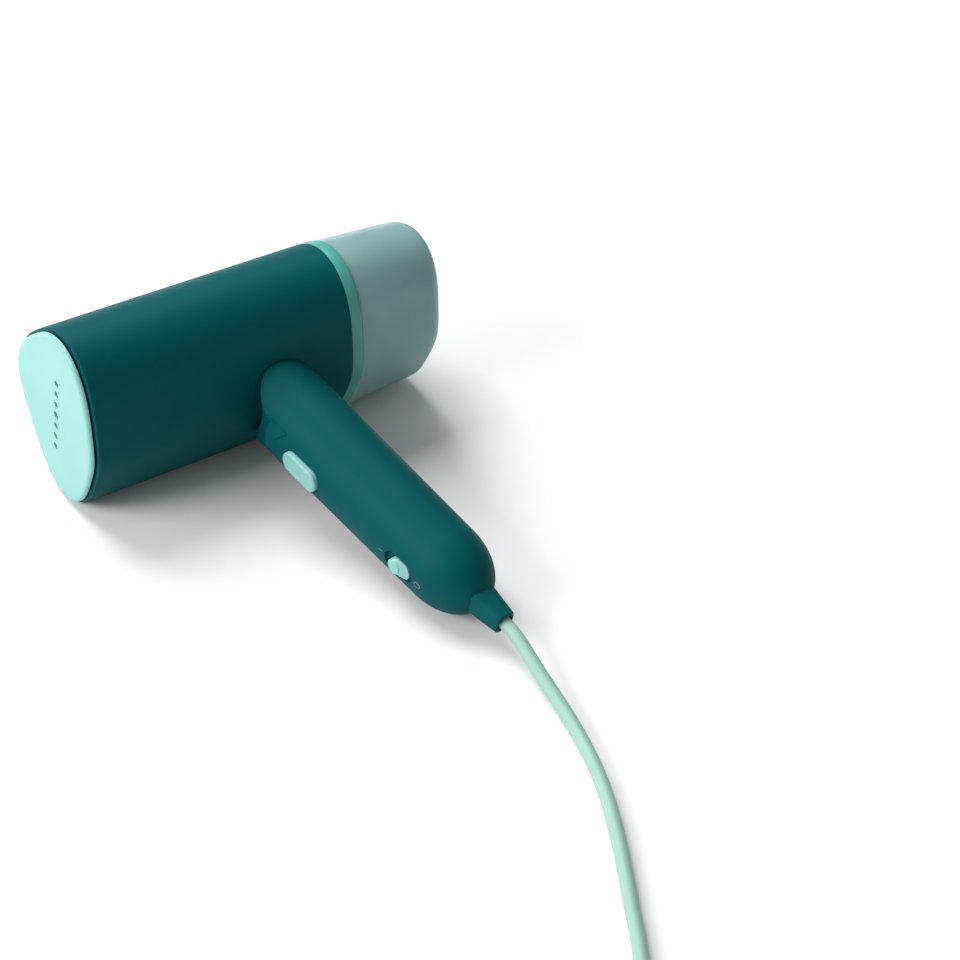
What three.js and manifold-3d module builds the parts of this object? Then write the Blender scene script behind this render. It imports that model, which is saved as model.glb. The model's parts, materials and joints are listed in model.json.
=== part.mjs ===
// A foldable handheld garment steamer, lying on its side with its handle open.
//
// Inside the "steamer" group the head runs along X: the steam plate faces +X, the water
// tank sits at the -X end, Y is sideways and the handle hangs towards -Z.
// Inside the "handle" group Z runs up the handle towards the head, and +X is its front,
// which carries the steam trigger and the power switch.
// All sizes are in millimetres.
import * as THREE from 'three';
import { mergeVertices } from 'three/addons/utils/BufferGeometryUtils.js';
import Module from 'manifold-3d';

const wasm = await Module();
wasm.setup();

// ---------------------------------------------------------------- driving dimensions

const DEG = Math.PI / 180;
const GAP = 0.3; // between pieces that touch

// The head's outline is a rounded triangle: its radius is a cosine series of the angle
// that starts at the handle's side.
const OUTLINE = [33.4, -5.6, -4.0, -1.0, 1.7];
const OUTLINE_POINTS = 36;
const CASING_LENGTH = 107.2;
const CASING_WALL = 2.2;
const PLATE_FRONT = 109.8;
const CHAMBER_BACK = 88;
const CHAMBER_FRONT = 101.8;
const HOLE_PITCH = 5.5;
const HOLE_HEIGHT = 4.1;
const PUMP_HEIGHT = 8; // the pump, its hoses and the tank's valve share this line

const TANK_END = -43.4;
const TANK_MOUTH = -5.1;
const TANK_WALL = 2.0;
const TANK_TAPER = 2.7 / 43.4; // inset per millimetre towards the tank's end
const BAND_BACK = -4.8;
const FILL_HEIGHT = -9;

const HANDLE_X = 34.8; // where the handle's axis crosses the head's axis
const HANDLE_LEAN = 7.4 * DEG; // the handle leans back, away from the plate
const HANDLE_ROOT = 24; // distances down the handle from the head's axis
const DOME_START = 119.5;
const HANDLE_END = 141.5;
const RELIEF_TIP = 152.6;
const ROOT_RADIUS = 16.4; // half the handle's depth at the root
const DOME_RADIUS = 15.1; // and where its domed end begins
const HANDLE_BREADTH = 1.08; // sideways radius over front-to-back radius
const HANDLE_WALL = 2.4;
const OVAL_POINTS = 28;

const PIVOT = { x: 35.06, z: -36.84 }; // the fold hinge, in the steamer group
const ROOT_GAP = 0.4; // the handle's root follows the head's underside at this distance
const DRUM_RADIUS = 11.2; // the neck's drum fills the slot in the root's front corner
const DRUM_HALF = 7.0;
const SLOT_HALF = 8.4;
const SLOT_DEPTH = 1.8; // how far below the hinge the slot reaches
const PIN_RADIUS = 2.5;

const TRIGGER_AT = 57.2;
const SWITCH_AT = 112.8;

const CORD_RADIUS = 2.5;
const COIL = { x: 92.6, y: 263.9, inner: 20.4, outer: 37.7, top: 20.3 }; // on the floor
const ROLL = 10.55 * DEG; // the lying head is rolled by this much onto the handle's end

// ---------------------------------------------------------------- materials

const finish = (color, roughness, metalness = 0) =>
  new THREE.MeshStandardMaterial({ color, roughness, metalness });

const DARK_SHELL = finish(0x074c4d, 0.42);
const MINT = finish(0xaee9e0, 0.35);
const MINT_CORD = finish(0xafdacd, 0.5);
const BAND_GREEN = finish(0x478a7d, 0.4);
const SMOKED = finish(0x7d9e9a, 0.25);
const BLACK_PLASTIC = finish(0x1d2324, 0.55);
const WHITE_PLASTIC = finish(0xdfe3e0, 0.5);
const SILICONE = finish(0xd8dcd6, 0.6);
const RUBBER = finish(0x2b2f30, 0.8);
const ALUMINIUM = finish(0xb9bcbe, 0.35, 0.9);
const STEEL = finish(0xa4a7aa, 0.3, 1);
const COPPER = finish(0xb06a3a, 0.35, 0.9);
const BRASS = finish(0xc3a254, 0.3, 1);
const BOARD_GREEN = finish(0x2c6b3f, 0.6);
const MICA = finish(0xb7a98a, 0.7);

// ---------------------------------------------------------------- solids

const solidOf = (geometry) => {
  const plain = new THREE.BufferGeometry();
  plain.setAttribute('position', geometry.getAttribute('position'));
  if (geometry.index) plain.setIndex(geometry.index);
  const merged = mergeVertices(plain, 1e-4);
  return new wasm.Manifold(new wasm.Mesh({
    numProp: 3,
    vertProperties: merged.getAttribute('position').array,
    triVerts: Uint32Array.from(merged.index.array),
  }));
};

const geometryOf = (solid) => {
  const mesh = solid.getMesh();
  const geometry = new THREE.BufferGeometry();
  geometry.setAttribute('position', new THREE.BufferAttribute(mesh.vertProperties, 3));
  geometry.setIndex(new THREE.BufferAttribute(mesh.triVerts, 1));
  return geometry;
};

const join = (first, ...rest) =>
  geometryOf(rest.reduce((solid, part) => solid.add(solidOf(part)), solidOf(first)));
const cut = (first, ...tools) =>
  geometryOf(tools.reduce((solid, tool) => solid.subtract(solidOf(tool)), solidOf(first)));
const common = (first, ...others) =>
  geometryOf(others.reduce((solid, part) => solid.intersect(solidOf(part)), solidOf(first)));

// A closed skin over rings of points that follow each other along the rings' normal.
const loft = (rings) => {
  const count = rings[0].length;
  const points = rings.flat();
  const centre = (ring) =>
    ring.reduce((sum, point) => sum.clone().add(point), new THREE.Vector3()).divideScalar(count);
  points.push(centre(rings[0]), centre(rings[rings.length - 1]));
  const first = points.length - 2;
  const last = points.length - 1;
  const top = (rings.length - 1) * count;
  const faces = [];
  for (let j = 0; j < count; j += 1) {
    const next = (j + 1) % count;
    for (let i = 0; i < rings.length - 1; i += 1) {
      const low = i * count;
      const high = low + count;
      faces.push(low + j, low + next, high + next, low + j, high + next, high + j);
    }
    faces.push(first, next, j, last, top + j, top + next);
  }
  const geometry = new THREE.BufferGeometry().setFromPoints(points);
  geometry.setIndex(faces);
  return geometry;
};

const box = (x, y, z) => {
  const geometry = new THREE.BoxGeometry(x[1] - x[0], y[1] - y[0], z[1] - z[0]);
  return geometry.translate((x[0] + x[1]) / 2, (y[0] + y[1]) / 2, (z[0] + z[1]) / 2);
};

// A round bar between two points.
const rod = (from, to, radius, sides = 16, endRadius = radius) => {
  const start = new THREE.Vector3(...from);
  const along = new THREE.Vector3(...to).sub(start);
  const geometry = new THREE.CylinderGeometry(endRadius, radius, along.length(), sides);
  geometry.translate(0, along.length() / 2, 0);
  const turn = new THREE.Quaternion();
  turn.setFromUnitVectors(new THREE.Vector3(0, 1, 0), along.clone().normalize());
  return geometry.applyQuaternion(turn).translate(start.x, start.y, start.z);
};
const rodX = (x, y, z, radius, sides) => rod([x[0], y, z], [x[1], y, z], radius, sides);

const polygon = (radius, sides) => {
  const points = Array.from({ length: sides }, (_, i) => {
    const angle = (2 * Math.PI * i) / sides;
    return new THREE.Vector2(radius * Math.cos(angle), radius * Math.sin(angle));
  });
  return new THREE.Shape(points);
};

const sweep = (curve, radius, sides, steps) =>
  new THREE.ExtrudeGeometry(polygon(radius, sides), { steps, extrudePath: curve, bevelEnabled: false });

const hose = (points, radius, steps) => {
  const curve = new THREE.CatmullRomCurve3(points.map((point) => new THREE.Vector3(...point)));
  return sweep(curve, radius, 8, steps);
};

class Helix extends THREE.Curve {
  constructor(radius, length, turns) {
    super();
    Object.assign(this, { radius, length, turns });
  }

  getPoint(t, target = new THREE.Vector3()) {
    const angle = 2 * Math.PI * this.turns * t;
    return target.set(this.length * t, this.radius * Math.cos(angle), this.radius * Math.sin(angle));
  }
}

// A compression spring along +X, starting at the given place.
const spring = (x, y, z, radius, wire, turns) => {
  const helix = new Helix(radius, x[1] - x[0], turns);
  return sweep(helix, wire, 4, turns * 7).translate(x[0], y, z);
};

// ---------------------------------------------------------------- the head's outline

const outlinePoint = (angle, inset) => {
  const radius = OUTLINE.reduce((sum, term, k) => sum + term * Math.cos(k * angle), 0);
  const slope = OUTLINE.reduce((sum, term, k) => sum - k * term * Math.sin(k * angle), 0);
  const alongY = slope * Math.sin(angle) + radius * Math.cos(angle);
  const alongZ = -slope * Math.cos(angle) + radius * Math.sin(angle);
  const size = Math.hypot(alongY, alongZ);
  return new THREE.Vector2(
    radius * Math.sin(angle) - (inset * alongZ) / size,
    -radius * Math.cos(angle) + (inset * alongY) / size,
  );
};

const headRing = (x, inset) =>
  Array.from({ length: OUTLINE_POINTS }, (_, i) => {
    const point = outlinePoint((2 * Math.PI * i) / OUTLINE_POINTS, inset);
    return new THREE.Vector3(x, point.x, point.y);
  });

// stations: [x, inset] pairs with x growing
const headSolid = (...stations) => loft(stations.map(([x, inset]) => headRing(x, inset)));

// The stations of a rounded edge that ends at x; side is +1 for a front edge, -1 for a rear one.
const roundEdge = (x, side, radius, inset, steps = 2) => {
  const stations = [];
  for (let i = 0; i <= steps; i += 1) {
    const angle = (i / steps) * 90 * DEG;
    stations.push([
      x - side * radius * (1 - Math.sin(angle)),
      inset + radius * (1 - Math.cos(angle)),
    ]);
  }
  return side > 0 ? stations : stations.reverse();
};

// ---------------------------------------------------------------- pieces of the head

const makeCasing = () => {
  const outside = headSolid(...roundEdge(0, -1, 0.5, 0, 1), ...roundEdge(CASING_LENGTH, 1, 0.9, 0));
  const inside = headSolid([-1, CASING_WALL], [CASING_LENGTH + 1, CASING_WALL]);
  const neckHole = box([PIVOT.x - 8.2, PIVOT.x + 1.4], [-DRUM_HALF - 0.6, DRUM_HALF + 0.6], [-30, -15]);
  return cut(outside, inside, neckHole);
};

const screwPlaces = [65, 130, 230, 295].map((angle) => outlinePoint(angle * DEG, 12.8));

const makePlate = () => {
  const cap = headSolid([107.9, 1.3], ...roundEdge(PLATE_FRONT, 1, 1.4, 1.3, 3));
  const boss = headSolid([103.4, 9.2], [108.2, 9.2]);
  const holes = [-3, -2, -1, 0, 1, 2, 3].map((i) =>
    rodX([100, 112], i * HOLE_PITCH, HOLE_HEIGHT, i === 0 ? 1.6 : 1.3, 12));
  const sockets = screwPlaces.map((place) => rodX([103, 106], place.x, place.y, 1.7, 8));
  return cut(join(cap, boss), ...holes, ...sockets);
};

const makeBezel = () =>
  cut(headSolid([98, 2.5], [107.4, 2.5]), headSolid([97, 8.8], [108, 8.8]));

const makeChamber = () => {
  const block = headSolid([CHAMBER_BACK, 9.5], [CHAMBER_FRONT, 9.5]);
  const pocket = headSolid([95, 16], [103, 16]);
  const nipple = rodX([83, 89], 0, PUMP_HEIGHT, 3, 12);
  const inlet = rodX([82, 96], 0, PUMP_HEIGHT, 1.2, 8);
  const passages = screwPlaces.map((place) => rodX([87, 103], place.x, place.y, 1.7, 8));
  return cut(join(block, nipple), pocket, inlet, ...passages);
};

const makeChamberGasket = () => {
  const passages = screwPlaces.map((place) => rodX([101, 104], place.x, place.y, 1.7, 8));
  return cut(headSolid([102.1, 9.6], [103.1, 9.6]), headSolid([101, 15.6], [104, 15.6]), ...passages);
};

const makeChamberScrew = (place) =>
  join(rodX([85.7, 87.7], place.x, place.y, 2.6, 12), rodX([87.6, 105.6], place.x, place.y, 1.4, 8));

// A tubular heater bent into an open ring, with both ends turned back.
const makeHeater = () => {
  const points = [[77.5, 4, PUMP_HEIGHT - 13], [82, 4, PUMP_HEIGHT - 13]];
  for (let angle = -60; angle <= 240; angle += 30) {
    points.push([84.3, 13 * Math.cos(angle * DEG), PUMP_HEIGHT + 13 * Math.sin(angle * DEG)]);
  }
  points.push([82, -4, PUMP_HEIGHT - 13], [77.5, -4, PUMP_HEIGHT - 13]);
  return hose(points, 2.6, 24);
};

const makeThermostat = () =>
  join(rodX([84.6, 87.7], 22.5, 5, 5.2, 14), box([80.8, 85], [20, 25], [3.5, 6.5]));

const makeHeatShield = () =>
  cut(headSolid([71.4, 3.2], [73, 3.2]), rodX([70, 75], 0, PUMP_HEIGHT, 4.6, 14));

const makePumpHousing = () => {
  const barrel = rodX([28, 62], 0, PUMP_HEIGHT, 9, 20);
  const nozzles = rodX([24, 66], 0, PUMP_HEIGHT, 3, 12);
  const bore = rodX([31, 59], 0, PUMP_HEIGHT, 5.6, 16);
  const channel = rodX([23, 67], 0, PUMP_HEIGHT, 1.2, 8);
  return cut(join(barrel, nozzles), bore, channel);
};

const makePumpCoil = () =>
  cut(rodX([34, 54], 0, PUMP_HEIGHT, 14.6, 22), rodX([33, 55], 0, PUMP_HEIGHT, 9.4, 20));

const makePumpYoke = () => {
  const frame = box([31.7, 56.3], [-13, 13], [PUMP_HEIGHT - 17, PUMP_HEIGHT + 17]);
  const room = box([33.6, 54.4], [-14, 14], [PUMP_HEIGHT - 15, PUMP_HEIGHT + 15]);
  return cut(frame, room, rodX([30, 58], 0, PUMP_HEIGHT, 9.4, 20));
};

const makeTray = () => {
  const floor = box([15, 69], [-16, 16], [-16, -13.6]);
  const walls = [-1, 1].map((side) =>
    box([15, 69], [side * 15 - 1, side * 15 + 1], [-14, -9]));
  const lugs = [-1, 1].map((side) =>
    box([15, 22], [side * 11.5 - 3.5, side * 11.5 + 3.5], [-14, -8]));
  const passages = neckScrewPlaces.map(([x, y]) => rod([x, y, -17], [x, y, -13], 1.7, 8));
  const sockets = [-1, 1].map((side) => rodX([14, 23], side * 11.5, -11.2, 1.7, 8));
  return cut(join(floor, ...walls, ...lugs), ...passages, ...sockets);
};

const neckScrewPlaces = [[25.5, -9.8], [25.5, 9.8], [50, -9.8], [50, 9.8]];

// The neck comes through the casing and ends in the drum that the handle turns on.
const makeNeck = () => {
  const drum = rod([PIVOT.x, -DRUM_HALF, PIVOT.z], [PIVOT.x, DRUM_HALF, PIVOT.z], DRUM_RADIUS, 32);
  const web = box([PIVOT.x - 7.6, PIVOT.x + 0.8], [-DRUM_HALF, DRUM_HALF], [PIVOT.z, -18]);
  const flange = box([20, 54], [-12.8, 12.8], [-19.2, -16.3]);
  const bore = rod([PIVOT.x, -20, PIVOT.z], [PIVOT.x, 20, PIVOT.z], PIN_RADIUS + GAP, 14);
  const passages = neckScrewPlaces.map(([x, y]) => rod([x, y, -20], [x, y, -15], 1.7, 8));
  return cut(join(drum, web, flange), bore, ...passages);
};

const makeNeckScrew = ([x, y]) =>
  join(rod([x, y, -18.8], [x, y, -13], 1.4, 8), rod([x, y, -13.3], [x, y, -11.4], 2.7, 12));

// The cup at the head's rear end: its collar centres the tank's band.
const makeSocket = () => {
  const outside = headSolid([-4.2, 3.4], [0.4, 3.4], [0.8, 2.6], [13, 2.6]);
  const cup = cut(outside, headSolid([-5, 5], [11, 5]));
  const nozzleHole = rodX([10, 14], 0, PUMP_HEIGHT, 2.4, 12);
  const screwHoles = [-1, 1].map((side) => rodX([10, 14], side * 11.5, -11.2, 1.7, 8));
  return cut(cup, nozzleHole, ...screwHoles);
};

const makeSocketScrew = (side) =>
  join(rodX([8.8, 10.7], side * 11.5, -11.2, 2.7, 12), rodX([10.6, 20], side * 11.5, -11.2, 1.4, 8));

const makeNozzle = () => {
  const tube = rodX([-5.6, 17], 0, PUMP_HEIGHT, 2.0, 12);
  const flange = rodX([8.8, 10.7], 0, PUMP_HEIGHT, 5, 16);
  return cut(join(tube, flange), rodX([-7, 18], 0, PUMP_HEIGHT, 1.0, 8));
};

// ---------------------------------------------------------------- the water tank

const tankInset = (x) => -x * TANK_TAPER;

const makeTank = () => {
  const edge = 5;
  const endInset = tankInset(TANK_END + edge);
  const outside = headSolid(
    ...roundEdge(TANK_END, -1, edge, endInset, 3), [TANK_MOUTH, tankInset(TANK_MOUTH)]);
  const inside = headSolid(
    ...roundEdge(TANK_END + TANK_WALL, -1, edge - TANK_WALL, endInset + TANK_WALL),
    [TANK_MOUTH + 1, tankInset(TANK_MOUTH) + TANK_WALL]);
  return cut(outside, inside);
};

const makeTankBase = () => {
  const band = cut(
    headSolid(...roundEdge(BAND_BACK, -1, 0.4, 0, 1), ...roundEdge(-GAP, 1, 0.4, 0, 1)),
    headSolid([-4.5, 2.95], [1, 2.95]));
  const panel = headSolid([-7.2, 2.9], [-4.5, 2.9]);
  const fillHole = rodX([-9, -2], 0, FILL_HEIGHT, 6.2, 20);
  const valveHole = rodX([-9, -2], 0, PUMP_HEIGHT, 4.4, 16);
  return cut(join(band, panel), fillHole, valveHole);
};

const makeFillPlug = () =>
  join(
    rodX([-8.4, -4], 0, FILL_HEIGHT, 5.8, 18),
    rodX([-4.2, -2.8], 0, FILL_HEIGHT, 8.2, 20),
    box([-3, 2.2], [-4, 4], [FILL_HEIGHT - 1, FILL_HEIGHT + 1]));

const makeTankValve = () => {
  const bush = join(
    rodX([-4.2, -3], 0, PUMP_HEIGHT, 6, 16),
    rodX([-7.6, -4.1], 0, PUMP_HEIGHT, 4.1, 16),
    rodX([-8.8, -7.5], 0, PUMP_HEIGHT, 5.6, 16),
    rodX([-13, -8.7], 0, PUMP_HEIGHT, 2.4, 12));
  return cut(bush, rodX([-6.4, -2], 0, PUMP_HEIGHT, 2.4, 12), rodX([-14, -6], 0, PUMP_HEIGHT, 1.1, 8));
};

// The pick-up tube is slack, and its weighted end has sunk to the tank's lower side.
const pickUpRoute = [
  [-13.3, 0, PUMP_HEIGHT], [-18, -0.5, 7.9], [-24, -6, 6], [-29, -14, 3.5], [-32.5, -22, 1.6]];

const makePickUpWeight = () => {
  const [x, y, z] = pickUpRoute[pickUpRoute.length - 1];
  const way = new THREE.Vector3(x, y, z).sub(new THREE.Vector3(...pickUpRoute[3])).normalize();
  const at = (distance) => [x + way.x * distance, y + way.y * distance, z + way.z * distance];
  return rod(at(0.5), at(8.5), 3.3, 14);
};

// ---------------------------------------------------------------- the handle

const handleRadius = (down) => {
  const run = Math.min(1, (down - HANDLE_ROOT) / (DOME_START - HANDLE_ROOT));
  return ROOT_RADIUS + (DOME_RADIUS - ROOT_RADIUS) * run;
};

const ovalRing = (z, depth, breadth = depth * HANDLE_BREADTH) =>
  Array.from({ length: OVAL_POINTS }, (_, i) => {
    const angle = (2 * Math.PI * i) / OVAL_POINTS;
    return new THREE.Vector3(depth * Math.cos(angle), breadth * Math.sin(angle), z);
  });

// The handle's outer form, or with an inset the room inside it.
const handleSolid = (inset, top) => {
  const rings = [];
  const domeSteps = inset > 0 ? 3 : 5;
  const domeLength = HANDLE_END - DOME_START - inset;
  for (let i = domeSteps; i >= 0; i -= 1) {
    const angle = (i / domeSteps) * 86 * DEG;
    const depth = DOME_RADIUS * Math.cos(angle) - inset * Math.cos(angle);
    const breadth = (DOME_RADIUS * HANDLE_BREADTH - inset) * Math.cos(angle);
    rings.push(ovalRing(-DOME_START - domeLength * Math.sin(angle), depth, breadth));
  }
  const depth = handleRadius(HANDLE_ROOT) - inset;
  rings.push(ovalRing(-HANDLE_ROOT, depth, handleRadius(HANDLE_ROOT) * HANDLE_BREADTH - inset));
  rings.push(ovalRing(top, depth, handleRadius(HANDLE_ROOT) * HANDLE_BREADTH - inset));
  return loft(rings);
};

const toHandle = new THREE.Matrix4()
  .makeTranslation(HANDLE_X, 0, 0)
  .multiply(new THREE.Matrix4().makeRotationY(HANDLE_LEAN))
  .invert();
const pivot = new THREE.Vector3(PIVOT.x, 0, PIVOT.z).applyMatrix4(toHandle);

// Everything that the handle may fill: below the head, and in front of the hinge no further
// from it than the head's underside is, so that the root can turn there.
const handleRoom = () => {
  const underside = [];
  for (let angle = -56; angle <= 56; angle += 8) underside.push(outlinePoint(angle * DEG, -ROOT_GAP));
  const profile = underside.map((point) => new THREE.Vector2(point.y - PIVOT.z, point.x));
  profile.unshift(new THREE.Vector2(0, profile[0].y));
  profile.push(new THREE.Vector2(0, profile[profile.length - 1].y));
  const turning = new THREE.LatheGeometry(profile, 48).translate(pivot.x, 0, pivot.z);
  const behind = box([-40, PIVOT.x], [-30, 30], [-200, 0]).applyMatrix4(toHandle);
  const below = box([-40, 40], [-30, 30], [-170, pivot.z]);
  const head = headSolid([-60, -ROOT_GAP], [130, -ROOT_GAP]).applyMatrix4(toHandle);
  return cut(join(turning, behind, below), head);
};

// The room that the drum and its web need as the handle turns about them.
const drumSlot = () => {
  const round = rod(
    [pivot.x, -SLOT_HALF, pivot.z], [pivot.x, SLOT_HALF, pivot.z], DRUM_RADIUS + 0.5, 32);
  return join(box([-5.4, 40], [-SLOT_HALF, SLOT_HALF], [pivot.z - SLOT_DEPTH, 20]), round);
};

// A bar along +X with a section that has round ends, centred at the given distance down.
const stadiumBar = (x, down, length, width) => {
  const shape = new THREE.Shape();
  const straight = (length - width) / 2;
  shape.absarc(straight, 0, width / 2, -90 * DEG, 90 * DEG);
  shape.absarc(-straight, 0, width / 2, 90 * DEG, 270 * DEG);
  const bar = new THREE.ExtrudeGeometry(
    shape, { depth: x[1] - x[0], bevelEnabled: false, curveSegments: 7 });
  return bar.rotateY(90 * DEG).translate(x[0], 0, -down);
};

// A ring between an oval and a rectangle: the larger the power, the squarer it is.
const softRing = (z, depth, breadth, power = 3.2) =>
  Array.from({ length: 24 }, (_, i) => {
    const angle = (2 * Math.PI * i) / 24;
    const squareness = Math.abs(Math.cos(angle)) ** power + Math.abs(Math.sin(angle)) ** power;
    const reach = squareness ** (-1 / power);
    return new THREE.Vector3(depth * reach * Math.cos(angle), breadth * reach * Math.sin(angle), z);
  });

const makeHandleCasing = () => {
  const outside = common(handleSolid(0, -16), handleRoom());
  const inside = handleSolid(HANDLE_WALL, -10);
  const triggerHole = stadiumBar([8, 30], TRIGGER_AT, 19.8, 9.8);
  const switchPocket = stadiumBar([13.9, 30], SWITCH_AT - 0.9, 14.6, 7.8);
  const stemSlot = box([8, 20], [-1.7, 1.7], [-SWITCH_AT - 2.5, -SWITCH_AT + 5.5]);
  const reliefHole = loft([softRing(-170, 6.1, 6.1), softRing(-128, 6.1, 6.1)]);
  return cut(outside, inside, drumSlot(), triggerHole, switchPocket, stemSlot, reliefHole);
};

const makeFork = () => {
  const body = common(
    handleSolid(HANDLE_WALL + GAP, -10), handleRoom(), box([-20, 20], [-20, 20], [-44.4, -10]));
  const bore = rod([pivot.x, -16, pivot.z], [pivot.x, 16, pivot.z], PIN_RADIUS + GAP, 14);
  return cut(body, drumSlot(), bore);
};

const makeHingePin = () => rod([pivot.x, -12, pivot.z], [pivot.x, 12, pivot.z], PIN_RADIUS, 14);

const makeHingeWasher = (side) => {
  const ring = rod(
    [pivot.x, side * (DRUM_HALF + GAP), pivot.z], [pivot.x, side * (SLOT_HALF - GAP), pivot.z], 6.6, 18);
  return cut(ring, rod([pivot.x, -9, pivot.z], [pivot.x, 9, pivot.z], PIN_RADIUS + GAP, 14));
};

const makeTrigger = () =>
  join(
    stadiumBar([12.0, 16.5], TRIGGER_AT, 19, 9),
    stadiumBar([16.4, 17.3], TRIGGER_AT, 17.6, 7.6),
    stadiumBar([11.4, 12.1], TRIGGER_AT + 0.9, 20.4, 11));

const makeTriggerSwitch = () =>
  join(box([3.9, 8.6], [-3.2, 3.2], [-58, -50]), box([8.5, 9.6], [-1, 1], [-55.5, -53]));

// The power switch's cap: flat where the finger rests, with a slope below.
const makeSlider = () => {
  const cap = stadiumBar([14.2, 18.2], SWITCH_AT, 9.8, 6.6);
  const ramp = new THREE.Shape();
  ramp.moveTo(12, -20);
  ramp.lineTo(12, 20);
  ramp.lineTo(16.9, 20);
  ramp.lineTo(16.9, -1.2);
  ramp.lineTo(15.4, -4.9);
  ramp.lineTo(15.2, -20);
  ramp.closePath();
  const wedge = new THREE.ExtrudeGeometry(ramp, { depth: 20, bevelEnabled: false });
  wedge.rotateX(90 * DEG).translate(0, 10, -SWITCH_AT);
  const stem = box([9.5, 14.5], [-1.3, 1.3], [-SWITCH_AT - 1.5, -SWITCH_AT + 1.5]);
  return join(common(cap, wedge), stem);
};

const makeSlideSwitch = () => box([3.9, 9.2], [-4, 4], [-118.5, -105]);

const makeBoard = () => {
  const holes = boardScrewPlaces.map(([y, z]) => rod([0, y, z], [6, y, z], 1.5, 8));
  return cut(box([2, 3.6], [-11, 11], [-118, -49.5]), ...holes);
};

const boardScrewPlaces = [[-8.5, -72], [8.5, -72], [-8.5, -98], [8.5, -98]];

const makeCarrier = () => {
  const plate = box([-2.4, -0.4], [-12.3, 12.3], [-119, -49]);
  const posts = boardScrewPlaces.map(([y, z]) => rod([-0.6, y, z], [1.7, y, z], 3, 10));
  const bores = boardScrewPlaces.map(([y, z]) => rod([-3, y, z], [3, y, z], 1.3, 8));
  return cut(join(plate, ...posts), ...bores);
};

const makeBoardScrew = ([y, z]) =>
  join(rod([-2, y, z], [4, y, z], 1.0, 8), rod([3.9, y, z], [5.2, y, z], 2.4, 10));

const makeStrainRelief = () => {
  const sleeve = loft([
    softRing(-RELIEF_TIP, 3.7, 3.7), softRing(-RELIEF_TIP + 0.6, 4.15, 4.15),
    softRing(-HANDLE_END + 1, 5.7, 5.7), softRing(-129, 5.7, 5.7)]);
  const flange = rod([0, 0, -130.4], [0, 0, -127.4], 7.8, 20);
  return cut(join(sleeve, flange), rod([0, 0, -RELIEF_TIP - 1], [0, 0, -126], 3.1, 14));
};

// ---------------------------------------------------------------- the mains lead, on the floor

// Where the lead runs, from inside the strain relief to the coil.
const cordRoute = [
  [-16.9, 83.1, 12.4], [-18, 91.8, 10.7], [-18.3, 98.6, 9.5], [-17.7, 106.6, 7.6], [-16.7, 116, 5.7],
  [-15.6, 126.6, 4.1], [-13.5, 139.3, 3], [-9.9, 153.3, 2.7], [-4.7, 167.7, 2.6], [1.7, 181.4, 2.6],
  [8.5, 194.2, 2.6], [16.3, 208, 2.6], [24.7, 223, 2.6], [35.3, 239.6, 2.6], [44.5, 253.9, 2.6],
  [53.8, 268.3, 2.6], [63.2, 282.8, 2.6]];

// And from the coil's top to the plug.
const tailRoute = [
  [111.5, 293.3, 17.6], [121.5, 286, 17], [130.5, 277, 15.6], [138, 266.5, 14.2], [143.2, 255, 13.3],
  [146.4, 243, 13]];
const PLUG_TURN = -75 * DEG; // the plug's heading on the floor

const coilRing = (clearance) => {
  const inner = COIL.inner - clearance;
  const outer = COIL.outer + clearance;
  const top = COIL.top + clearance;
  const profile = [[inner, 0.1], [outer, 0.1], [outer, top], [inner, top], [inner, 0.1]];
  const ring = new THREE.LatheGeometry(profile.map(([r, z]) => new THREE.Vector2(r, z)), 36);
  return ring.rotateX(90 * DEG).translate(COIL.x, COIL.y, 0);
};

const makeCord = (route, steps) => {
  const curve = new THREE.CatmullRomCurve3(route.map((point) => new THREE.Vector3(...point)));
  return cut(sweep(curve, CORD_RADIUS, 8, steps), coilRing(GAP));
};

// The plug is made with its cord end at the origin and its pins towards +X.
const placePlug = (geometry) => {
  const [x, y, z] = tailRoute[tailRoute.length - 1];
  return geometry.rotateZ(PLUG_TURN).translate(x, y, z);
};

const makePlug = () => {
  const rings = [
    [0.3, 4.2, 4.2, 2], [14, 5.4, 5.4, 2], [16, 7.5, 9.5, 2.4], [24, 11.5, 16, 2.6], [30, 12.9, 18.4, 2.8],
    [50, 12.9, 18.4, 2.8], [51, 12, 17.5, 2.8]];
  const body = loft(rings.map((ring) => softRing(...ring))).rotateY(90 * DEG);
  const sockets = [-1, 1].map((side) => rodX([42, 52], side * 9.5, 0, 2.7, 12));
  return placePlug(cut(body, ...sockets));
};

const makePlugPin = (side) => {
  const shank = rodX([42.4, 67.5], side * 9.5, 0, 2.4, 12);
  return placePlug(join(shank, rod([67.4, side * 9.5, 0], [70, side * 9.5, 0], 2.4, 12, 1.2)));
};

// ---------------------------------------------------------------- assembly

const mesh = (name, geometry, material) => {
  const piece = new THREE.Mesh(geometry, material);
  piece.name = name;
  return piece;
};

const handle = new THREE.Group();
handle.position.set(HANDLE_X, 0, 0);
handle.rotation.y = HANDLE_LEAN;
handle.add(
  mesh('handle_casing', makeHandleCasing(), DARK_SHELL),
  mesh('hinge_fork', makeFork(), DARK_SHELL),
  mesh('hinge_pin', makeHingePin(), STEEL),
  mesh('hinge_washer_left', makeHingeWasher(1), STEEL),
  mesh('hinge_washer_right', makeHingeWasher(-1), STEEL),
  mesh('steam_trigger', makeTrigger(), MINT),
  mesh('trigger_spring', spring([4, 9.5], 0, -63.5, 1.9, 0.3, 4), STEEL),
  mesh('trigger_switch', makeTriggerSwitch(), BLACK_PLASTIC),
  mesh('power_slider', makeSlider(), MINT),
  mesh('slide_switch', makeSlideSwitch(), BLACK_PLASTIC),
  mesh('control_board', makeBoard(), BOARD_GREEN),
  mesh('board_carrier', makeCarrier(), WHITE_PLASTIC),
  mesh('strain_relief', makeStrainRelief(), DARK_SHELL),
);
boardScrewPlaces.forEach((place, i) => {
  handle.add(mesh(`board_screw_${i + 1}`, makeBoardScrew(place), STEEL));
});

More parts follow.
